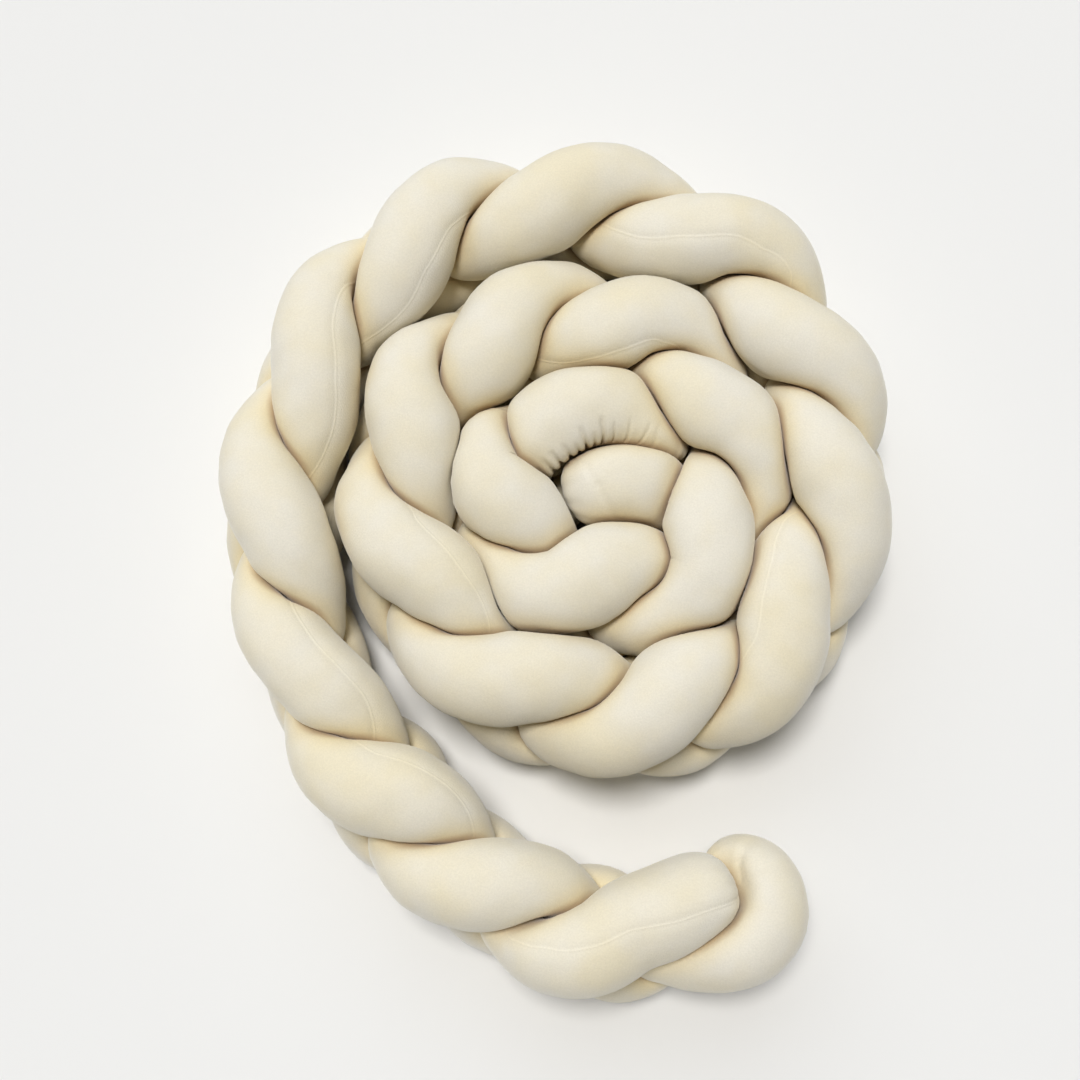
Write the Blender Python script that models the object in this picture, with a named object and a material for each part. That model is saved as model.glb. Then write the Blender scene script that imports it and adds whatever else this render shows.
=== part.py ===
"""A crib bumper: three long stuffed velour tubes in a flat three-strand braid.

The braid stands on its edge and is rolled into a spiral with a loose tail. Metres, +Z up, and the
origin is under the middle of the roll and tail, on the surface that the lowest lobes rest on.
"""

import math

import bmesh
import bpy
import numpy as np

# Driving dimensions
TUBE_D = 0.072  # a stuffed tube, across
BRAID_RISE = 0.042  # a tube's middle swings this far above and below the braid's own middle
SETTLED = 0.005  # the lowest lobes are pressed this much flatter by the weight on them
CLOTH_GAP = 0.0016  # between two tubes where they press on each other
CAP_LENGTH = 0.034  # the rounded closed end of a tube
CAP_FULLNESS = 2.4  # 2 makes this end an ellipse, and more makes it blunter
FIRM_SHARE = 0.35  # how far a full tube pushes back a neighbour's narrow end
TIGHTEST = 0.90  # its widest reach inside a bend, as a share of the bend's radius
LEAST_REACH = 0.006  # its narrowest reach, where it is pressed hardest
PLAN_SHIFT = (-0.013196, 0.006938)  # puts the origin under the middle of the whole

# The mesh
RING_STEP = 0.024
SIDES = 14
CAP_RINGS = 3
ROUTE_STEP = 0.006  # spacing of the points that stand for a tube's middle line
CURVE_STEPS = 16  # points read from a curve between two of its rows
ROWS_PER_LOBE = 4
BEND_BLUR = 5  # a bend is averaged over this many of the middle line's points

# How tubes press on each other
PRESS_REACH = 0.120  # nothing further off than this is pressed on
OWN_TURN = 0.110  # a tube also presses on itself, further than this along its own length
SOFTNESS = 9.0  # power of the blend between a free round wall and a pressed flat one
UNPRESSED = 1.0  # the reach where nothing is in the way
SIDEWAYS = 0.001  # a direction that points less than this towards something misses it
SPAN_SHARES = (0.0, 0.25, 0.5, 0.75, 1.0)  # where the walls between two rings are tried for contact
DRAW_IN_ROUNDS = 8
GIRTH_TRIALS = 24

TUBE_RADIUS = TUBE_D / 2
GIRTH = math.pi * TUBE_D
BRAID_MIDDLE = BRAID_RISE + TUBE_RADIUS - SETTLED

# The braid's middle in plan at each top lobe, from the tail's end to the roll's centre: x, y in mm
TOP_LOBES = (
    (150, -273),
    (50, -289),
    (-40, -251),
    (-115, -183),
    (-171, -95),
    (-199, 24),
    (-171, 148),
    (-94, 241),
    (15, 271),
    (137, 239),
    (201, 151),
    (221, 48),
    (178, -68),
    (87, -122),
    (-22, -102),
    (-97, -12),
    (-98, 101),
    (-27, 166),
    (70, 170),
    (141, 95),
    (128, -9),
    (24, -35),
    (-34, 39),
    (31, 95),
    (64, 38),
)

# What changes along the braid, as rows of lobe and value, with even changes between them
SWAY_MM = (
    (0, 11),
    (1, 17),
    (2, 12.5),
    (3, 15.5),
    (4, 9.5),
    (5, 14.5),
    (8, 18),
    (12, 16),
    (16, 16.5),
    (20, 20),
    (24, 13),
)  # how far a tube swings to either side of the braid's middle
LEAD_DEGREES = (
    (0, 2.5),
    (1, -6),
    (2, 0),
    (3, 9),
    (4, -1),
    (5, 10),
    (8, 5),
    (12, 8),
    (16, 12),
    (20, 9),
    (24, 8),
)  # how far a lobe stands ahead of its even place, so that it lies over the end of the one before
FULLEST = (
    (0, 0.95),
    (2, 0.93),
    (3, 1.01),
    (4, 0.90),
    (5, 0.96),
    (9, 1.00),
    (14, 1.00),
    (24, 1.08),
)  # a tube's widest reach, as a share of its free radius

# Per strand: the lobes between which it follows the braid, and its two loose ends as x, y, z in mm
STRANDS = {
    "strand_a": {
        "lobe": 0,
        "first": 1.1,
        "last": 22.0,
        "tail_end": (
            (134, -251, 62),
            (147, -247, 76),
            (159, -256, 88),
            (161, -275, 92),
            (146, -291, 90),
            (120, -295, 79),
            (94, -291, 66),
            (69, -288, 55),
        ),
        "roll_end": ((-4, 47, 43), (16, 52, 36), (38, 46, 38)),
    },
    "strand_b": {
        "lobe": 1,
        "first": 0.85,
        "last": 22.5,
        "tail_end": ((141, -254, 96), (116, -261, 103), (91, -270, 109)),
        "roll_end": (
            (-15, 80, 78),
            (5, 92, 56),
            (24, 98, 42),
            (46, 98, 38),
            (68, 90, 39),
            (87, 75, 45),
            (98, 57, 57),
            (98, 46, 74),
            (91, 44, 92),
            (76, 46, 102),
            (57, 47, 105),
            (38, 45, 100),
            (23, 43, 92),
        ),
    },
    "strand_c": {
        "lobe": 2,
        "first": 0.35,
        "last": 22.2,
        "tail_end": ((135, -285, 38),),
        "roll_end": (
            (-22, 60, 86),
            (-11, 72, 102),
            (5, 86, 112),
            (26, 98, 116),
            (49, 102, 112),
            (71, 96, 104),
            (86, 83, 94),
            (90, 66, 82),
        ),
    },
}

MM = 0.001
CREAM = (0.86, 0.80, 0.65, 1.0)


def clear_scene():
    for obj in list(bpy.data.objects):
        bpy.data.objects.remove(obj, do_unlink=True)


def unit(vectors):
    return vectors / np.linalg.norm(vectors, axis=-1, keepdims=True)


def smooth_curve(rows, at):
    """The Catmull-Rom curve through the rows, read at these row numbers."""
    rows = np.asarray(rows, float)
    ends = np.vstack([2 * rows[0] - rows[1], rows, 2 * rows[-1] - rows[-2]])
    start = np.clip(np.floor(at).astype(int), 0, len(rows) - 2)
    t = (at - start)[:, None]
    p0, p1, p2, p3 = (ends[start + k] for k in range(4))
    bend = 2 * p0 - 5 * p1 + 4 * p2 - p3
    twist = 3 * p1 - p0 - 3 * p2 + p3
    return 0.5 * (2 * p1 + (p2 - p0) * t + bend * t**2 + twist * t**3)


def table_at(table, lobes):
    """A table's value at these lobes."""
    rows, values = np.array(table, float).T
    return np.interp(lobes, rows, values)


def evenly(route, step):
    """Rows at an even spacing along a route of x, y, z and lobe."""
    lengths = np.linalg.norm(np.diff(route[:, :3], axis=0), axis=1)
    along = np.concatenate([[0.0], np.cumsum(lengths)])
    count = max(2, round(along[-1] / step))
    wanted = np.linspace(0.0, along[-1], count + 1)
    return np.stack([np.interp(wanted, along, axis) for axis in route.T], axis=1)


def braided_run(lobe, first, last):
    """A strand's middle where it follows the braid: over at its own lobe and every third one after.

    Its rows are x, y, z and the lobe that the row stands at.
    """
    at = np.arange(first, last, 1 / ROWS_PER_LOBE)
    lobes = MM * np.array(TOP_LOBES)
    plan = smooth_curve(lobes, at)
    a_little = 0.001
    heading = unit(smooth_curve(lobes, at + a_little) - smooth_curve(lobes, at - a_little))
    inwards = np.stack([heading[:, 1], -heading[:, 0]], axis=1)
    phase = math.pi / 2 + math.tau * (at - lobe) / 3
    sway = MM * table_at(SWAY_MM, at) * np.sin(2 * phase)
    height = BRAID_MIDDLE + BRAID_RISE * np.sin(phase + np.radians(table_at(LEAD_DEGREES, at)))
    return np.column_stack([plan + sway[:, None] * inwards, height, at])


def strand_route(strand):
    """A strand's whole middle line, from the tail's end to the roll's centre, as x, y, z and lobe."""
    run = braided_run(strand["lobe"], strand["first"], strand["last"])
    tail, roll = MM * np.array(strand["tail_end"]), MM * np.array(strand["roll_end"])
    before = run[0, 3] - np.arange(len(tail), 0, -1) / ROWS_PER_LOBE
    after = run[-1, 3] + np.arange(1, len(roll) + 1) / ROWS_PER_LOBE
    rows = np.vstack([np.column_stack([tail, before]), run, np.column_stack([roll, after])])
    last = len(rows) - 1
    fine = smooth_curve(rows, np.linspace(0, last, CURVE_STEPS * last + 1))
    return fine + np.array([*PLAN_SHIFT, 0.0, 0.0])


def pressed_limits(middle, firmness, directions, others):
    """How far the tube may reach in each direction before it meets a neighbour's share of the space.

    The others' rows are x, y, z and firmness: a narrow end gives way to a full tube beside it.
    """
    offsets = others[:, :3] - middle
    squares = (offsets**2).sum(axis=1)
    near = squares < PRESS_REACH**2
    towards = np.maximum(directions @ offsets[near].T, SIDEWAYS * SIDEWAYS)
    meeting = (squares[near] + firmness - others[near, 3]) / (2 * towards)
    return np.minimum(meeting, UNPRESSED).min(axis=1, initial=UNPRESSED) - CLOTH_GAP / 2


def bend_limits(curvature, directions):
    """How far the tube may reach on the inside of its own bend."""
    inside = np.maximum(directions @ curvature, SIDEWAYS)
    return np.minimum(TIGHTEST / inside, UNPRESSED)


def wall(radius, limits, floor):
    """One ring's wall: round where it is free, flat against its neighbours, and never below the surface."""
    return np.minimum((radius**-SOFTNESS + limits**-SOFTNESS) ** (-1 / SOFTNESS), floor)


def girth_of(reach):
    """The length round one ring."""
    angles = math.tau * np.arange(len(reach)) / len(reach)
    corners = np.stack([reach * np.cos(angles), reach * np.sin(angles)], axis=1)
    return np.linalg.norm(np.roll(corners, -1, axis=0) - corners, axis=1).sum()


def full_radius(limits, floor, fullest):
    """The free radius that keeps the cloth's girth, so that a tube squeezed one way swells the other."""
    low, high = TUBE_RADIUS / 2, fullest * TUBE_RADIUS
    for _ in range(GIRTH_TRIALS):
        middle = (low + high) / 2
        if girth_of(wall(middle, limits, floor)) > GIRTH:
            high = middle
        else:
            low = middle
    return low


def cap_share(places, length):
    """How much of its width the tube has here: all of it, but for the two rounded ends."""
    inset = np.clip(np.minimum(places, length - places) / CAP_LENGTH, 0.0, 1.0)
    return (1 - (1 - inset) ** CAP_FULLNESS) ** (1 / CAP_FULLNESS)


def firmness_of(share):
    """How hard a tube of this share of its width presses on a neighbour, as the square of a length."""
    return FIRM_SHARE * (share * TUBE_RADIUS) ** 2


def ring_places(length):
    """Where the rings stand along a tube: evenly, and closer together at its ends."""
    count = round((length - 2 * CAP_LENGTH) / RING_STEP)
    inner = np.linspace(CAP_LENGTH, length - CAP_LENGTH, count + 1)
    quarter_turn = math.pi / 2 * np.arange(1, CAP_RINGS) / CAP_RINGS
    cap = CAP_LENGTH * (1 - np.cos(quarter_turn))
    return np.concatenate([cap, inner, length - cap[::-1]])


def measured(route):
    """A route as even points with their distances along it, their headings and their bends."""
    rows = evenly(route, ROUTE_STEP)
    points = rows[:, :3]
    spacing = np.linalg.norm(points[1] - points[0])
    along = spacing * np.arange(len(points))
    heading = unit(np.gradient(points, axis=0))
    bend = np.gradient(heading, axis=0) / spacing
    blur = np.ones(BEND_BLUR) / BEND_BLUR
    bend = np.stack([np.convolve(axis, blur, mode="same") for axis in bend.T], axis=1)
    beads = np.column_stack([points, firmness_of(cap_share(along, along[-1]))])
    return {
        "points": points,
        "beads": beads,
        "along": along,
        "heading": heading,
        "bend": bend,
        "lobe": rows[:, 3],
    }


def read_at(line, key, places):
    """One of a measured route's rows, read at these distances along it."""
    return np.stack([np.interp(places, line["along"], axis) for axis in line[key].T], axis=1)


def close_to(middle, beads):
    return beads[((beads[:, :3] - middle) ** 2).sum(axis=1) < PRESS_REACH**2]


def rings_of(name, lines):
    """Where a strand's rings stand, which way their points lie, and how far each may reach."""
    line = lines[name]
    length = line["along"][-1]
    places = ring_places(length)
    middles = read_at(line, "points", places)
    bends = read_at(line, "bend", places)
    heading = unit(read_at(line, "heading", places))
    across = unit(np.cross(heading, [0.0, 0.0, 1.0]))
    upright = np.cross(across, heading)
    fullest = table_at(FULLEST, np.interp(places, line["along"], line["lobe"]))
    angles = math.tau * np.arange(SIDES)[:, None] / SIDES
    neighbours = np.vstack([lines[other]["beads"] for other in lines if other != name])
    rings = []
    for row, share in enumerate(cap_share(places, length)):
        directions = np.cos(angles) * across[row] + np.sin(angles) * upright[row]
        own_turn = np.abs(line["along"] - places[row]) > OWN_TURN
        others = np.vstack([neighbours, line["beads"][own_turn]])
        pressed = pressed_limits(middles[row], firmness_of(share), directions, others)
        pressed = np.maximum(pressed / share, LEAST_REACH)
        limits = np.minimum(pressed, bend_limits(bends[row], directions))
        floor = middles[row, 2] / np.maximum(-directions[:, 2], SIDEWAYS)
        reach = wall(full_radius(limits, floor, fullest[row]), limits, floor) * share
        ring = {"middle": middles[row], "directions": directions, "reach": reach}
        ring["own"] = close_to(middles[row], line["beads"][~own_turn])
        ring["others"] = close_to(middles[row], others)
        rings.append(ring)
    return rings


def wall_points(ring):
    return ring["middle"] + ring["reach"][:, None] * ring["directions"]


def nearest(points, beads):
    """The bead that holds each of these points, and the square of its distance less its firmness."""
    squares = ((points[:, None] - beads[None, :, :3]) ** 2).sum(axis=2) - beads[:, 3]
    found = squares.argmin(axis=1)
    return beads[found, :3], squares.min(axis=1)


def trespass(points, ring):
    """How far each point lies past the halfway surface between this tube and its neighbours."""
    own, to_own = nearest(points, ring["own"])
    other, to_other = nearest(points, ring["others"])
    between = np.linalg.norm(other - own, axis=1)
    return CLOTH_GAP / 2 - (to_other - to_own) / (2 * between)


def draw_in(rings):
    """Pulls the wall in where a flat stretch between two rings would reach into a neighbour."""
    for near, far in zip(rings, rings[1:]):
        start, end = wall_points(near), wall_points(far)
        for share in SPAN_SHARES:
            edge = (1 - share) * start + share * end
            beside = (edge + np.roll(edge, -1, axis=0)) / 2
            depth = np.maximum(trespass(edge, near), 0.0)
            depth_beside = np.maximum(trespass(beside, near), 0.0)
            depth = np.maximum(depth, np.maximum(depth_beside, np.roll(depth_beside, 1)))
            near["reach"] = np.maximum(near["reach"] - depth * (1 - share), near["reach"] / 2)
            far["reach"] = np.maximum(far["reach"] - depth * share, far["reach"] / 2)


def iron(rings):
    """Lowers whatever stands out from the rings on either side, so that a pressed wall runs on smoothly."""
    reach = np.array([ring["reach"] for ring in rings])
    between = (reach[:-2] + 2 * reach[1:-1] + reach[2:]) / 4
    for ring, level in zip(rings[CAP_RINGS:-CAP_RINGS], between[CAP_RINGS - 1 :]):
        ring["reach"] = np.minimum(ring["reach"], level)


def closed_tube(name, rings, ends):
    """A mesh of the rings, joined by quads and closed by a fan at either end."""
    shape = bmesh.new()
    loops = [[shape.verts.new(point) for point in ring] for ring in rings]
    start, end = (shape.verts.new(point) for point in ends)
    for side in range(SIDES):
        after = (side + 1) % SIDES
        shape.faces.new((start, loops[0][side], loops[0][after]))
        shape.faces.new((end, loops[-1][after], loops[-1][side]))
        for near, far in zip(loops, loops[1:]):
            shape.faces.new((near[side], far[side], far[after], near[after]))
    mesh = bpy.data.meshes.new(name)
    shape.to_mesh(mesh)
    shape.free()
    mesh.shade_smooth()
    return mesh


def velour(name):
    material = bpy.data.materials.new(name + "_velour")
    material.use_nodes = True
    surface = material.node_tree.nodes["Principled BSDF"]
    surface.inputs["Base Color"].default_value = CREAM
    surface.inputs["Roughness"].default_value = 0.9
    surface.inputs["Metallic"].default_value = 0.0
    surface.inputs["Sheen Weight"].default_value = 0.4
    return material


def add_strand(name, lines):
    rings = rings_of(name, lines)
    iron(rings)
    for _ in range(DRAW_IN_ROUNDS):
        draw_in(rings)
    ends = lines[name]["points"][[0, -1]]
    mesh = closed_tube(name, [wall_points(ring) for ring in rings], ends)
    mesh.materials.append(velour(name))
    bpy.context.scene.collection.objects.link(bpy.data.objects.new(name, mesh))


def main():
    clear_scene()
    lines = {name: measured(strand_route(strand)) for name, strand in STRANDS.items()}
    for name in STRANDS:
        add_strand(name, lines)


main()
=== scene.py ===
import math
import bpy
import numpy as np
from mathutils.bvhtree import BVHTree
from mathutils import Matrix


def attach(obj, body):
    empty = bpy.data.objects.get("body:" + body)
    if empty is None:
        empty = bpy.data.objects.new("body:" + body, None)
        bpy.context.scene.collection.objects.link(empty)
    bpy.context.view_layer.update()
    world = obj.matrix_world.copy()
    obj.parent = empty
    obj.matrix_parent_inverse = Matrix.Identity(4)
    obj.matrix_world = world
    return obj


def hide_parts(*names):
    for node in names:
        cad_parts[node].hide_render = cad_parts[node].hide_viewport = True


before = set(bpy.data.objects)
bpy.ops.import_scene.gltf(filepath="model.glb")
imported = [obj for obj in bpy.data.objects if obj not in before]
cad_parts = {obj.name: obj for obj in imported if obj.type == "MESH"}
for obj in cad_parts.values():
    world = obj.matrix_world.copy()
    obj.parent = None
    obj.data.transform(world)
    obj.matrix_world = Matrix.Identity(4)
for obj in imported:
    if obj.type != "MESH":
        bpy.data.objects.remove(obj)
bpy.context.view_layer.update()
print("frame:", ", ".join(sorted(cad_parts)))

mm = 0.001

# The braid's middle in plan at each lobe that shows on top, from the tail's end to the roll's centre, in mm
topLobes = (
    (150, -273), (50, -289), (-40, -251), (-115, -183), (-171, -95),
    (-199, 24), (-171, 148), (-94, 241), (15, 271), (137, 239),
    (201, 151), (221, 48), (178, -68), (87, -122), (-22, -102),
    (-97, -12), (-98, 101), (-27, 166), (70, 170), (141, 95),
    (128, -9), (24, -35), (-34, 39), (31, 95), (64, 38),
)

# A table's rows start with a lobe's number, counted from the tail's end
braid = {
    "rise": 0.042,          # a tube's middle swings this far above and below the braid's own middle
    "settled": 0.005,       # the lowest lobes are pressed this much flatter
    "swayMm": (             # and this far to either side of it
        (0, 11), (1, 17), (2, 12.5), (3, 15.5), (4, 9.5), (5, 14.5),
        (8, 18), (12, 16), (16, 16.5), (20, 20), (24, 13),
    ),
    "leadDegrees": (        # it is highest this much before its lobe's middle, where 360 is three lobes
        (0, 2.5), (1, -6), (2, 0), (3, 9), (4, -1), (5, 10),
        (8, 5), (12, 8), (16, 12), (20, 9), (24, 8),
    ),
    "rowsPerLobe": 4,
    "shift": (-0.013196, 0.006938),     # puts the origin under the middle of the whole, as in the solids
}

tube = {
    "across": 0.072,        # a stuffed tube, free
    "gap": 0.0009,          # left between two tubes that press on each other
    "cap": 0.034,           # length of a tube's rounded closed end
    "capFullness": 2.4,     # 2 makes this end an ellipse, and more makes it blunter
    "firmShare": 0.35,      # how far a full tube pushes back a neighbour's narrow end
    "fullest": (            # the most that a free wall swells, as a share of the free tube
        (0, 0.95), (2, 0.93), (3, 1.01), (4, 0.90), (5, 0.96), (9, 1.00), (14, 1.00), (24, 1.08),
    ),
    "tightest": 0.90,       # widest reach inside a bend, as a share of the bend's radius
    "leastReach": 0.006,
    "unpressed": 1.0,       # the reach where nothing is in the way
    "pressReach": 0.120,    # nothing further off is pressed on
    "ownTurn": 0.110,       # a tube presses on itself only further off than this along its length
    "softness": 9.0,        # how sharply a round wall turns into a pressed flat one
    "evenOut": 0.004,       # length over which the cloth evens out such a change
}

tubeMesh = {
    "lineStep": 0.003,      # spacing of the points of a middle line
    "curveSteps": 16,       # points read from a curve between two of its rows
    "bendBlur": 11,         # points of the middle line that a bend is averaged over
    "ringStep": 0.0038,
    "fineStep": 0.0012,     # where the cloth is gathered
    "capRings": 36,
    "plainSides": 90,
    "seamSides": (0.8, 1.7, 2.8, 4.2, 6.0),     # degrees from the seam, where the sides stand close
    "girthTrials": 22,
}

# Per strand: its first top lobe, the lobes where it joins and leaves the braid, and its two loose ends
# as x, y and height in mm. A seam's row is a lobe and an angle, 0 to the right of the way on and 90 up.
# A fold runs from one lobe and angle to another, and its last two numbers are its depth and width in mm.
strands = {
    "strand_a": {
        "lobe": 0, "first": 1.1, "last": 22.0,
        "tailEnd": (
            (134, -251, 62), (147, -247, 76), (159, -256, 88), (161, -275, 92),
            (146, -291, 90), (120, -295, 79), (94, -291, 66), (69, -288, 55),
        ),
        "rollEnd": ((-4, 47, 43), (16, 52, 36), (38, 46, 38)),
        "seamAt": (
            (-1, -110), (0.6, -110), (2.4, 52), (5.5, 45), (5.8, 58), (6.4, 68), (8.5, 66), (8.8, 74),
            (9.2, 73), (9.4, 92), (11.5, 50), (11.7, 64), (12.2, 50), (14.4, 65), (14.7, 71), (15.1, 47),
            (17.4, 28), (17.7, 48), (18.3, 49), (20, 0), (21, -40), (23, -40),
        ),
        "gathered": (-0.8, -0.2),
        "folds": (
            (-0.52, 105, -0.56, 152, 1.8, 2.4), (-0.52, 105, -0.43, 66, 1.8, 2.4),
            (-0.40, 100, -0.38, 140, 0.9, 2.0),
        ),
    },
    "strand_b": {
        "lobe": 1, "first": 0.85, "last": 22.5,
        "tailEnd": ((141, -254, 96), (116, -261, 103), (91, -270, 109)),
        "rollEnd": (
            (-15, 80, 78), (5, 92, 56), (24, 98, 42), (46, 98, 38), (68, 90, 39), (87, 75, 45), (98, 57, 57),
            (98, 46, 74), (91, 44, 92), (76, 46, 102), (57, 47, 105), (38, 45, 100), (23, 43, 92),
        ),
        "seamAt": (
            (0, 108), (0.6, 103), (1.1, 86), (1.3, 88), (1.5, 120), (3.7, 60),
            (6.5, 39), (6.8, 50), (9.5, 5), (12, -40), (24, -60), (25.4, -103),
        ),
        "gathered": (24.95, 25.5),
        "folds": ((25.19, 103, 25.27, 66, 1.1, 2.3), (25.19, 103, 25.10, 160, 1.1, 2.3)),
    },
    "strand_c": {
        "lobe": 2, "first": 0.35, "last": 22.2,
        "tailEnd": ((135, -285, 38),),
        "rollEnd": (
            (-22, 60, 86), (-11, 72, 102), (5, 86, 112), (26, 98, 116),
            (49, 102, 112), (71, 96, 104), (86, 83, 94), (90, 66, 82),
        ),
        "seamAt": ((-2, 250), (26, 250)),
        "gathered": (22.55, 23.85),
        "folds": (
            (22.58, 0, 22.67, 52, 4.6, 2.3), (22.68, 0, 22.75, 58, 4.4, 2.2),
            (22.78, 0, 22.83, 58, 5.2, 2.5), (22.89, 0, 22.92, 54, 3.6, 2.0),
            (22.98, 0, 22.99, 46, 2.6, 1.8), (23.08, 0, 23.07, 60, 5.6, 2.5),
            (23.17, 10, 23.15, 50, 3.0, 1.8), (23.26, 16, 23.21, 66, 5.2, 2.4),
            (23.39, 34, 23.31, 62, 2.6, 1.9), (23.51, 46, 23.45, 74, 2.0, 1.8),
            (23.64, 58, 23.60, 84, 1.6, 1.8), (23.76, 70, 23.66, 90, 1.2, 1.7),
        ),
    },
}


def unit(vectors):
    return vectors / np.linalg.norm(vectors, axis=-1, keepdims=True)


def tableAt(table, at):
    lobes, values = np.array(table, float).T
    return np.interp(at, lobes, values)


def smoothCurve(rows, at):
    rows = np.asarray(rows, float)
    ends = np.vstack([2 * rows[0] - rows[1], rows, 2 * rows[-1] - rows[-2]])
    start = np.clip(np.floor(at).astype(int), 0, len(rows) - 2)
    t = (at - start)[:, None]
    p0, p1, p2, p3 = (ends[start + k] for k in range(4))
    bend = 2 * p0 - 5 * p1 + 4 * p2 - p3
    twist = 3 * p1 - p0 - 3 * p2 + p3
    return 0.5 * (2 * p1 + (p2 - p0) * t + bend * t**2 + twist * t**3)


# Every third lobe on top is the same strand's: over, down on one side, under, and up on the other
def braidedRun(lobe, first, last):
    at = np.arange(first, last, 1 / braid["rowsPerLobe"])
    lobes = mm * np.array(topLobes)
    heading = unit(smoothCurve(lobes, at + 0.001) - smoothCurve(lobes, at - 0.001))
    inwards = np.stack([heading[:, 1], -heading[:, 0]], axis=1)
    phase = math.pi / 2 + math.tau * (at - lobe) / 3
    sway = mm * tableAt(braid["swayMm"], at) * np.sin(2 * phase)
    plan = smoothCurve(lobes, at) + sway[:, None] * inwards
    middle = braid["rise"] + tube["across"] / 2 - braid["settled"]
    height = middle + braid["rise"] * np.sin(phase + np.radians(tableAt(braid["leadDegrees"], at)))
    return np.column_stack([plan, height, at])


def capShare(places, length):
    inset = np.clip(np.minimum(places, length - places) / tube["cap"], 0.0, 1.0)
    return (1 - (1 - inset) ** tube["capFullness"]) ** (1 / tube["capFullness"])


# A narrow end gives way to a full tube beside it
def firmnessOf(share):
    return tube["firmShare"] * (share * tube["across"] / 2) ** 2


def strandRows(strand):
    run = braidedRun(strand["lobe"], strand["first"], strand["last"])
    tail, roll = mm * np.array(strand["tailEnd"]), mm * np.array(strand["rollEnd"])
    step = 1 / braid["rowsPerLobe"]
    tail = np.column_stack([tail, run[0, 3] - step * np.arange(len(tail), 0, -1)])
    roll = np.column_stack([roll, run[-1, 3] + step * np.arange(1, len(roll) + 1)])
    return np.vstack([tail, run, roll])


def strandLine(strand):
    rows = strandRows(strand)
    fine = smoothCurve(rows, np.linspace(0, len(rows) - 1, tubeMesh["curveSteps"] * (len(rows) - 1) + 1))
    fine[:, :2] += braid["shift"]
    along = np.concatenate([[0.0], np.cumsum(np.linalg.norm(np.diff(fine[:, :3], axis=0), axis=1))])
    wanted = np.linspace(0.0, along[-1], round(along[-1] / tubeMesh["lineStep"]) + 1)
    even = np.stack([np.interp(wanted, along, axis) for axis in fine.T], axis=1)
    heading = unit(np.gradient(even[:, :3], axis=0))
    blur = np.ones(tubeMesh["bendBlur"]) / tubeMesh["bendBlur"]
    bend = np.gradient(heading, axis=0) / wanted[1]
    bend = np.stack([np.convolve(axis, blur, mode="same") for axis in bend.T], axis=1)
    beads = np.column_stack([even[:, :3], firmnessOf(capShare(wanted, wanted[-1]))])
    return {
        "along": wanted, "points": even[:, :3], "beads": beads,
        "lobe": even[:, 3], "heading": heading, "bend": bend,
    }


def readAt(line, key, places):
    return np.stack([np.interp(places, line["along"], axis) for axis in line[key].T], axis=1)


def ringPlaces(line, gathered):
    cap, along = tube["cap"], line["along"]
    fine = (line["lobe"] > gathered[0]) & (line["lobe"] < gathered[1])
    step = np.where(fine, tubeMesh["fineStep"], tubeMesh["ringStep"])
    count = np.concatenate([[0.0], np.cumsum(np.diff(along) / step[1:])])
    first, last = np.interp([cap, along[-1] - cap], along, count)
    inner = np.interp(np.linspace(first, last, round(last - first) + 1), count, along)
    ends = cap * (1 - np.cos(math.pi / 2 * np.arange(tubeMesh["capRings"]) / tubeMesh["capRings"]))
    return np.concatenate([ends, inner, along[-1] - ends[::-1]])


def sideAngles():
    beside = np.radians(tubeMesh["seamSides"])
    plain = np.linspace(beside[-1], math.tau - beside[-1], tubeMesh["plainSides"] + 1)[1:-1]
    return np.concatenate([[0.0], beside, plain, math.tau - beside[::-1]])


def directionsAt(line, places, turned):
    heading = unit(readAt(line, "heading", places))
    across = unit(np.cross(heading, [0.0, 0.0, 1.0]))
    upright = np.cross(across, heading)
    return np.cos(turned)[..., None] * across[:, None] + np.sin(turned)[..., None] * upright[:, None]


# Two tubes meet halfway between their middles, or nearer to the one that is narrow there
def pressLimits(middle, share, directions, others):
    offsets = others[:, :3] - middle
    squares = (offsets**2).sum(axis=1)
    near = squares < tube["pressReach"] ** 2
    towards = np.maximum(directions @ offsets[near].T, 1e-6)
    meeting = (squares[near] + firmnessOf(share) - others[near, 3]) / (2 * towards)
    furthest = tube["unpressed"]
    meeting = np.minimum(meeting, furthest).min(axis=1, initial=furthest) - tube["gap"] / 2
    return np.maximum(meeting / max(share, 0.01), tube["leastReach"])


def wallLimits(name, lines, places, middles, share, directions):
    line = lines[name]
    neighbours = np.vstack([lines[other]["beads"] for other in lines if other != name])
    limits = np.empty(directions.shape[:2])
    for row, place in enumerate(places):
        ownTurn = np.abs(line["along"] - place) > tube["ownTurn"]
        others = np.vstack([neighbours, line["beads"][ownTurn]])
        limits[row] = pressLimits(middles[row], share[row], directions[row], others)
    inside = np.maximum(np.einsum("rsk,rk->rs", directions, readAt(line, "bend", places)), 0.001)
    return np.minimum(limits, np.minimum(tube["tightest"] / inside, tube["unpressed"]))


def wall(radius, limits, floor):
    power = tube["softness"]
    return np.minimum((radius**-power + limits**-power) ** (-1 / power), floor)


# A wall's sharp changes even out over a few millimetres, as cloth does
def evened(reach, angles, places):
    spread = tube["evenOut"]
    nearAngle = np.degrees(angles[:, None] - angles + math.pi) % 360 - 180
    share = np.exp(-((np.radians(nearAngle) * tube["across"] / 2 / spread) ** 2) / 2)
    share *= np.gradient(np.append(angles, math.tau))[:-1]
    reach = reach @ (share / share.sum(axis=1, keepdims=True)).T
    share = np.exp(-(((places[:, None] - places) / spread) ** 2) / 2) * np.gradient(places)
    return (share / share.sum(axis=1, keepdims=True)) @ reach


def girthOf(reach, angles):
    corners = np.stack([reach * np.cos(angles), reach * np.sin(angles)], axis=2)
    return np.linalg.norm(np.roll(corners, -1, axis=1) - corners, axis=2).sum(axis=1)


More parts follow.
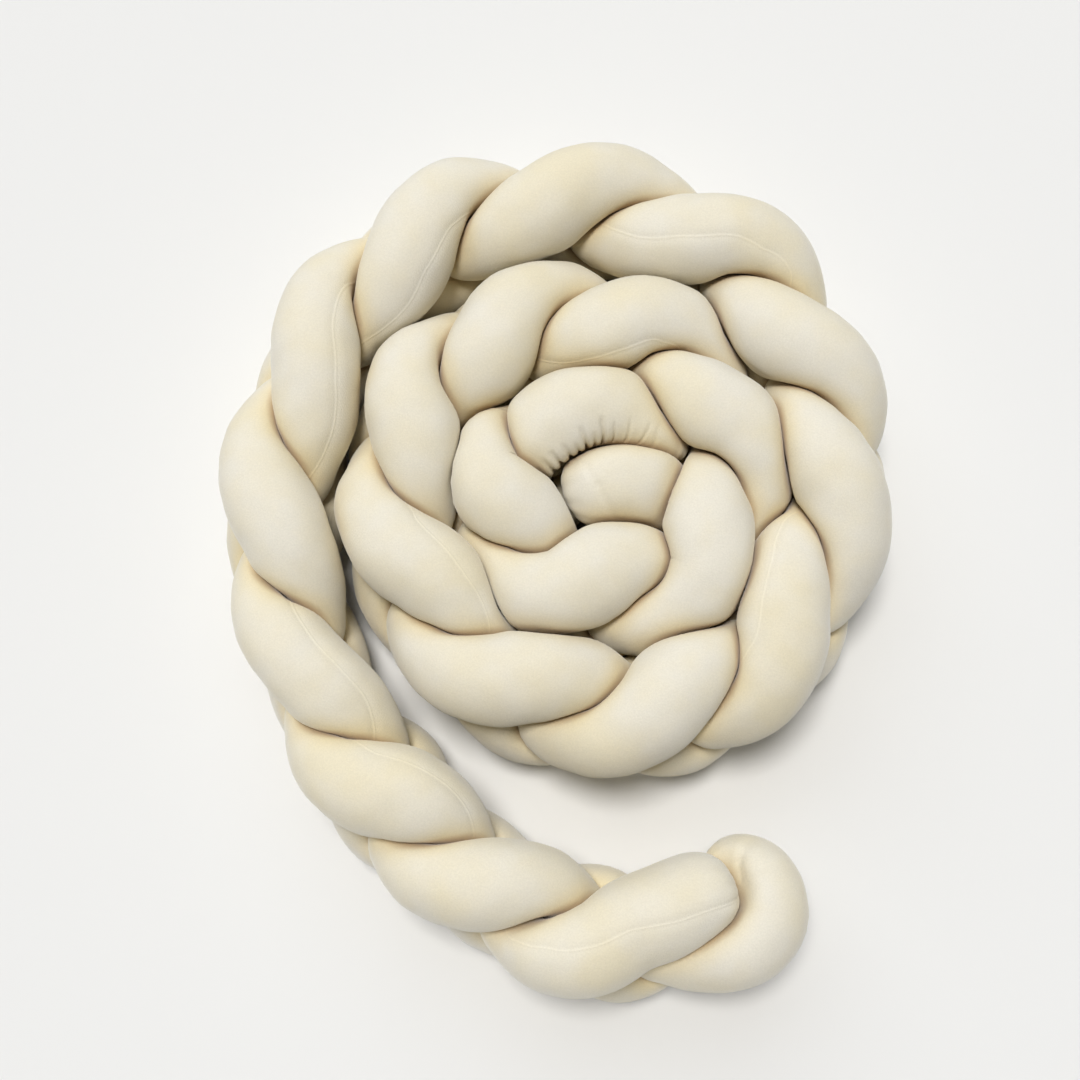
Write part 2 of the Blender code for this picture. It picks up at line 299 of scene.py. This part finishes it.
# A tube that is pressed swells elsewhere, until it has its whole girth of cloth again
def fullRadius(limits, floor, angles, fullest):
    low = np.full((len(limits), 1), tube["across"] / 4)
    high = fullest[:, None] * tube["across"] / 2
    for _ in range(tubeMesh["girthTrials"]):
        middle = (low + high) / 2
        tooLong = girthOf(wall(middle, limits, floor), angles)[:, None] > math.pi * tube["across"]
        high = np.where(tooLong, middle, high)
        low = np.where(tooLong, low, middle)
    return low


def strandForm(name, lines):
    line, strand = lines[name], strands[name]
    length = line["along"][-1]
    places, angles = ringPlaces(line, strand["gathered"]), sideAngles()
    middles, share = readAt(line, "points", places), capShare(places, length)
    lobe = np.interp(places, line["along"], line["lobe"])
    turned = np.radians(tableAt(strand["seamAt"], lobe))[:, None] + angles
    directions = directionsAt(line, places, turned)
    limits = wallLimits(name, lines, places, middles, share, directions)
    floor = middles[:, 2:] / np.maximum(-directions[..., 2], 0.001)
    reach = wall(fullRadius(limits, floor, angles, tableAt(tube["fullest"], lobe)), limits, floor)
    limits = np.minimum(limits, floor)
    reach = np.minimum(evened(reach, angles, places), limits)
    return {
        "name": name, "length": length, "places": places, "lobe": lobe, "angles": angles, "turned": turned,
        "middles": middles, "directions": directions, "share": share[:, None],
        "limits": limits, "reach": reach,
    }


def pointsAt(form, reach):
    return form["middles"][:, None] + (reach * form["share"])[..., None] * form["directions"]


cloth = {
    "seamRidge": 0.0003,    # the joined edges stand up in a fine ridge
    "ridgeWidth": 0.0008,
    "seamPull": 0.0007,     # the seam draws the filling in around it
    "pullWidth": 0.0040,
    "closingPleats": 13,    # the closed ends are drawn together by hand
    "pleatUneven": 0.8,
    "pleatDepth": 0.0016,
    "pleatReach": 0.016,
    "foldLips": 0.7,        # raises the cloth beside a fold a little, and 0 leaves it level
    "waves": ((0.060, 0.00035), (0.024, 0.00015)),      # the filling lies uneven: length, height
    "wavesEach": 9,
    "seed": 11,
}


def seamRelief(form):
    gap = form["reach"] * np.minimum(form["angles"], math.tau - form["angles"])
    ridge = cloth["seamRidge"] * np.exp(-((gap / cloth["ridgeWidth"]) ** 2))
    pull = -cloth["seamPull"] * np.exp(-((gap / cloth["pullWidth"]) ** 2))
    return ridge + pull


def closingRelief(form):
    fromEnd = np.minimum(form["places"], form["length"] - form["places"])[:, None]
    uneven = cloth["pleatUneven"] * np.sin(3 * form["angles"])
    pleats = 0.5 + 0.5 * np.cos(cloth["closingPleats"] * form["angles"] + uneven)
    return -cloth["pleatDepth"] * pleats**2 * np.exp(-((fromEnd / cloth["pleatReach"]) ** 2))


def unevenRelief(form):
    points = pointsAt(form, form["reach"])
    chance = np.random.default_rng(cloth["seed"])
    relief = np.zeros(form["reach"].shape)
    for length, height in cloth["waves"]:
        strength = 1.4 * height / math.sqrt(cloth["wavesEach"])     # many waves add up to about this height
        for heading in unit(chance.normal(size=(cloth["wavesEach"], 3))):
            phase = chance.uniform(0, math.tau)
            relief += strength * np.sin(math.tau / length * (points @ heading) + phase)
    return relief


def foldRelief(form, folds):
    relief = np.zeros(form["reach"].shape)
    for fromLobe, fromTurn, toLobe, toTurn, depth, width in folds:
        start, end = np.interp([fromLobe, toLobe], form["lobe"], form["places"])
        around = tube["across"] / 2 * math.radians(toTurn - fromTurn)
        turn = (form["turned"] - math.radians(fromTurn) + math.pi) % math.tau - math.pi
        along, side = form["places"][:, None] - start, tube["across"] / 2 * turn
        run = math.hypot(end - start, around)
        share = np.clip((along * (end - start) + side * around) / run**2, 0.0, 1.0)
        off = np.hypot(along - share * (end - start), side - share * around) / (mm * width)
        deepest = np.sqrt(np.clip(1.0 - share, 0.0, 1.0))       # a fold is deepest where it starts
        relief -= mm * depth * deepest * (1 - cloth["foldLips"] * off**2) * np.exp(-(off**2))
    return relief


def clothPoints(form):
    relief = seamRelief(form) + closingRelief(form) + unevenRelief(form)
    relief += foldRelief(form, strands[form["name"]]["folds"])
    return pointsAt(form, np.minimum(form["reach"] + relief, form["limits"]))


# The grid's columns run round the tube from its seam, and its rows along it
def strandPiece(form):
    points = clothPoints(form)
    points = np.concatenate([points, points[:, :1]], axis=1)        # the last column closes the tube
    rows, columns = points.shape[:2]
    bpy.ops.object.select_all(action="DESELECT")
    bpy.ops.mesh.primitive_grid_add(x_subdivisions=columns - 1, y_subdivisions=rows - 1, size=1.0)
    piece = bpy.context.object
    piece.name = piece.data.name = form["name"] + "_velour"
    mesh = piece.data
    flat = np.empty(3 * len(mesh.vertices))
    mesh.vertices.foreach_get("co", flat)
    flat = flat.reshape(-1, 3)
    column = np.rint((flat[:, 0] + 0.5) * (columns - 1)).astype(int)
    row = np.rint((flat[:, 1] + 0.5) * (rows - 1)).astype(int)
    mesh.vertices.foreach_set("co", points[row, column].ravel())
    around = np.append(form["angles"], math.tau) * tube["across"] / 2
    corner = np.empty(len(mesh.loops), int)
    mesh.loops.foreach_get("vertex_index", corner)
    uv = np.stack([around[column[corner]], form["places"][row[corner]]], axis=1)
    mesh.uv_layers[0].name = "clothUv"
    mesh.uv_layers[0].data.foreach_set("uv", uv.ravel())
    mesh.update()
    bpy.ops.object.mode_set(mode="EDIT")
    bpy.ops.mesh.select_all(action="SELECT")
    bpy.ops.mesh.remove_doubles(threshold=1e-6)
    bpy.ops.mesh.normals_make_consistent(inside=False)
    bpy.ops.object.mode_set(mode="OBJECT")
    bpy.ops.object.shade_smooth()
    return piece


# How far each point of a tube is from the other tubes, kept for the material, which paints shade in the
# creases and around them by it
def markClearance(piece, others):
    points, faces = [], []
    for other in others:
        first = len(points)
        faces += [[first + corner for corner in face.vertices] for face in other.data.polygons]
        points += [vertex.co.copy() for vertex in other.data.vertices]
    tree, reach = BVHTree.FromPolygons(points, faces), velour["nearbyShadeReach"]
    found = [tree.find_nearest(vertex.co, reach)[3] for vertex in piece.data.vertices]
    clear = [reach if distance is None else distance for distance in found]
    piece.data.attributes.new("clear", "FLOAT", "POINT").data.foreach_set("value", clear)


lines = {name: strandLine(strand) for name, strand in strands.items()}
print("strand lengths:", {name: round(line["along"][-1], 3) for name, line in lines.items()})
forms = {name: strandForm(name, lines) for name in strands}
print("walls pressed")


velour = {
    "pale": (0.815, 0.773, 0.672, 1.0),
    "warm": (0.81, 0.738, 0.56, 1.0),
    "pressed": (0.56, 0.42, 0.25, 1.0),     # painted shade: dark brown where two tubes press on each other
    "creaseShadeReach": 0.0068,
    "nearbyShade": (0.985, 0.93, 0.79, 1.0),     # painted shade too, warmer and a little darker, for some way round them
    "nearbyShadeReach": 0.022,
    "patch": 11.0,          # patches of warmer nap to the metre
    "cloud": 45.0,          # smaller clouds within them
    "cloudShare": 0.35,
    "warmRange": (0.50, 0.86),      # of patches and clouds together, from pale to warm
    "mottle": 800.0,        # fine uneven lie of the nap
    "mottleShade": 0.94,
    "mottleRange": (0.35, 0.65),
    "nap": 900.0,           # grains of the pile to the metre
    "napDepth": 0.0005,
    "wale": 0.0016,         # rows of the knit run round the tube, this far apart
    "waleDepth": 0.00002,
    "bump": 0.5,            # strength of both
    "seamHighlight": 1.08,       # painted highlight: the colour is paler along the seam's ridge
    "seamHighlightHalf": 0.0012,     # from the seam to the edge of this painted highlight
    "roughness": 0.90,
    "specular": 0.15,
    "sheen": 0.35,
    "sheenRoughness": 0.45,
    "sheenTint": (0.93, 0.94, 0.96, 1.0),
}


def noiseAt(nodes, links, place, scale, detail):
    noise = nodes.new("ShaderNodeTexNoise")
    noise.inputs["Scale"].default_value = scale
    noise.inputs["Detail"].default_value = detail
    links.new(place, noise.inputs["Vector"])
    return noise.outputs["Fac"]


def mathOf(nodes, links, operation, value, *numbers):
    node = nodes.new("ShaderNodeMath")
    node.operation = operation
    links.new(value, node.inputs[0])
    for socket, number in zip(node.inputs[1:], numbers):
        socket.default_value = number
    return node


def rangeOf(nodes, links, value, lowIn, highIn, lowOut=0.0, highOut=1.0, blend="LINEAR"):
    node = nodes.new("ShaderNodeMapRange")
    node.interpolation_type = blend
    for key, number in (("From Min", lowIn), ("From Max", highIn), ("To Min", lowOut), ("To Max", highOut)):
        node.inputs[key].default_value = number
    links.new(value, node.inputs["Value"])
    return node.outputs["Result"]


def mixOf(nodes, blend, first=None, second=None):
    node = nodes.new("ShaderNodeMix")
    node.data_type = "RGBA"
    node.blend_type = blend
    node.inputs["Factor"].default_value = 1.0
    for key, colour in (("A", first), ("B", second)):
        if colour:
            node.inputs[key].default_value = colour
    return node


def shadedBy(nodes, links, colour, shade):
    product = mixOf(nodes, "MULTIPLY")
    links.new(colour, product.inputs["A"])
    links.new(shade, product.inputs["B"])
    return product.outputs["Result"]


def warmPatches(nodes, links, place):
    patches = noiseAt(nodes, links, place, velour["patch"], 2.0)
    clouds = noiseAt(nodes, links, place, velour["cloud"], 3.0)
    both = mathOf(nodes, links, "MULTIPLY_ADD", clouds, velour["cloudShare"])
    links.new(patches, both.inputs[2])
    warmth = mixOf(nodes, "MIX", velour["pale"], velour["warm"])
    links.new(rangeOf(nodes, links, both.outputs["Value"], *velour["warmRange"]), warmth.inputs["Factor"])
    return warmth.outputs["Result"]


# Paints shade into the colour: dark brown in the creases where tubes press on each other, and warmer and
# darker for some way round them
def paintCreaseShade(nodes, links, colour):
    clear = nodes.new("ShaderNodeAttribute")
    clear.attribute_name = "clear"
    distance = clear.outputs["Fac"]
    # painted shade near the other tubes, fading out over nearbyShadeReach
    tint = mixOf(nodes, "MIX", velour["nearbyShade"], (1.0, 1.0, 1.0, 1.0))
    away = rangeOf(nodes, links, distance, 0.0, velour["nearbyShadeReach"], blend="SMOOTHSTEP")
    links.new(away, tint.inputs["Factor"])
    creased = mixOf(nodes, "MIX", velour["pressed"])
    loose = rangeOf(nodes, links, distance, 0.0, velour["creaseShadeReach"], blend="SMOOTHSTEP")
    links.new(loose, creased.inputs["Factor"])
    links.new(shadedBy(nodes, links, colour, tint.outputs["Result"]), creased.inputs["B"])
    return creased.outputs["Result"]


def velourColour(nodes, links, place, seamGap):
    colour = warmPatches(nodes, links, place)
    # a painted highlight along the seam
    seam = rangeOf(nodes, links, seamGap, 0.0, velour["seamHighlightHalf"], velour["seamHighlight"], 1.0)
    colour = shadedBy(nodes, links, colour, seam)
    mottle = noiseAt(nodes, links, place, velour["mottle"], 4.0)
    lie = rangeOf(nodes, links, mottle, *velour["mottleRange"], velour["mottleShade"], 1.0)
    return paintCreaseShade(nodes, links, shadedBy(nodes, links, colour, lie))


def bumpOf(nodes, links, height, depth):
    node = nodes.new("ShaderNodeBump")
    node.inputs["Strength"].default_value = velour["bump"]
    node.inputs["Distance"].default_value = depth
    links.new(height, node.inputs["Height"])
    return node


def velourBump(nodes, links, clothUv, along):
    nap = bumpOf(nodes, links, noiseAt(nodes, links, clothUv, velour["nap"], 2.0), velour["napDepth"])
    turn = mathOf(nodes, links, "MULTIPLY", along, math.tau / velour["wale"])
    wave = mathOf(nodes, links, "SINE", turn.outputs["Value"])
    wales = bumpOf(nodes, links, wave.outputs["Value"], velour["waleDepth"])
    links.new(nap.outputs["Normal"], wales.inputs["Normal"])
    return wales.outputs["Normal"]


def velourMaterial():
    material = bpy.data.materials.new("creamVelour")
    material.use_nodes = True
    nodes, links = material.node_tree.nodes, material.node_tree.links
    surface = nodes["Principled BSDF"]
    surface.inputs["Roughness"].default_value = velour["roughness"]
    surface.inputs["Specular IOR Level"].default_value = velour["specular"]
    surface.inputs["Sheen Weight"].default_value = velour["sheen"]
    surface.inputs["Sheen Roughness"].default_value = velour["sheenRoughness"]
    surface.inputs["Sheen Tint"].default_value = velour["sheenTint"]
    place = nodes.new("ShaderNodeTexCoord")
    clothMap = nodes.new("ShaderNodeUVMap")
    clothMap.uv_map = "clothUv"
    parts = nodes.new("ShaderNodeSeparateXYZ")
    links.new(clothMap.outputs["UV"], parts.inputs["Vector"])
    halfGirth = math.pi * tube["across"] / 2
    seamGap = mathOf(nodes, links, "PINGPONG", parts.outputs["X"], halfGirth)   # from the seam, either way
    colour = velourColour(nodes, links, place.outputs["Object"], seamGap.outputs["Value"])
    links.new(colour, surface.inputs["Base Color"])
    links.new(velourBump(nodes, links, clothMap.outputs["UV"], parts.outputs["Y"]), surface.inputs["Normal"])
    return material


cream = velourMaterial()
tubes = {name: strandPiece(forms[name]) for name in strands}
for name, piece in tubes.items():
    markClearance(piece, [other for other in tubes.values() if other != piece])
    piece.data.materials.append(cream)
    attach(piece, "root")
    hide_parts(name)
    print("tube:", piece.name, len(piece.data.polygons), "faces")


studio = {
    "floorSize": 12.0,
    "floorDrop": 0.0004,    # keeps the floor clear of the cloth that rests on it
    "floor": (0.81, 0.81, 0.81, 1.0),
    "floorRoughness": 0.8,
    "floorSpecular": 0.1,
    "sky": (0.95, 0.975, 1.0, 1.0),
    "overheadGlow": 0.11,   # strength of the sky above
    "horizonGlow": 0.80,    # and of its pale lowest part
    "horizonTop": (0.065, 0.15),    # which fades out between these heights, as sines
    "lamps": (              # a broad lamp overhead, and a wider, weaker and cooler one beyond the roll
        {
            "name": "overheadLamp", "from": (-0.10, 0.11, 1.0), "spread": 16.0,
            "strength": 2.40, "colour": (1.0, 0.975, 0.93),
        },
        {
            "name": "farLamp", "from": (-0.40, 1.0, 1.2), "spread": 60.0,
            "strength": 0.95, "colour": (0.88, 0.94, 1.0),
        },
    ),
    "target": (-0.0132, 0.0069, 0.120),     # the camera looks here
    "tilt": 11.0,           # degrees from straight down
    "distance": 1.192,
    "lens": 53.33,          # mm, and so is the sensor
    "sensor": 36.0,
}


def studioFloor():
    bpy.ops.object.select_all(action="DESELECT")
    bpy.ops.mesh.primitive_plane_add(size=studio["floorSize"], location=(0, 0, -studio["floorDrop"]))
    floor = bpy.context.object
    floor.name = "floor"
    material = bpy.data.materials.new("paleFloor")
    material.use_nodes = True
    surface = material.node_tree.nodes["Principled BSDF"]
    surface.inputs["Base Color"].default_value = studio["floor"]
    surface.inputs["Roughness"].default_value = studio["floorRoughness"]
    surface.inputs["Specular IOR Level"].default_value = studio["floorSpecular"]
    floor.data.materials.append(material)


def studioSky():
    world = bpy.data.worlds.new("paleRoom")
    world.use_nodes = True
    nodes, links = world.node_tree.nodes, world.node_tree.links
    room = nodes["Background"]
    room.inputs["Color"].default_value = studio["sky"]
    outwards = nodes.new("ShaderNodeTexCoord")
    height = nodes.new("ShaderNodeSeparateXYZ")
    links.new(outwards.outputs["Generated"], height.inputs["Vector"])
    fade = (*studio["horizonTop"], studio["horizonGlow"], studio["overheadGlow"])
    links.new(rangeOf(nodes, links, height.outputs["Z"], *fade), room.inputs["Strength"])
    bpy.context.scene.world = world


def studioLamp(lamp):
    data = bpy.data.lights.new(lamp["name"], "SUN")
    data.angle = math.radians(lamp["spread"])
    data.energy = lamp["strength"]
    data.color = lamp["colour"]
    light = bpy.data.objects.new(lamp["name"], data)
    x, y, z = light.location = lamp["from"]
    light.rotation_euler = (math.atan2(math.hypot(x, y), z), 0, math.atan2(x, -y))
    bpy.context.scene.collection.objects.link(light)


def photoCamera():
    data = bpy.data.cameras.new("photoView")
    data.sensor_width = studio["sensor"]
    data.lens = studio["lens"]
    camera = bpy.data.objects.new("photoView", data)
    tilt = math.radians(studio["tilt"])
    x, y, z = studio["target"]
    distance = studio["distance"]
    camera.location = (x, y - distance * math.sin(tilt), z + distance * math.cos(tilt))
    camera.rotation_euler = (tilt, 0, 0)
    bpy.context.scene.collection.objects.link(camera)
    bpy.context.scene.camera = camera


studioFloor()
studioSky()
for lamp in studio["lamps"]:
    studioLamp(lamp)
photoCamera()
bpy.context.scene.view_settings.view_transform = "Standard"
print("studio ready")
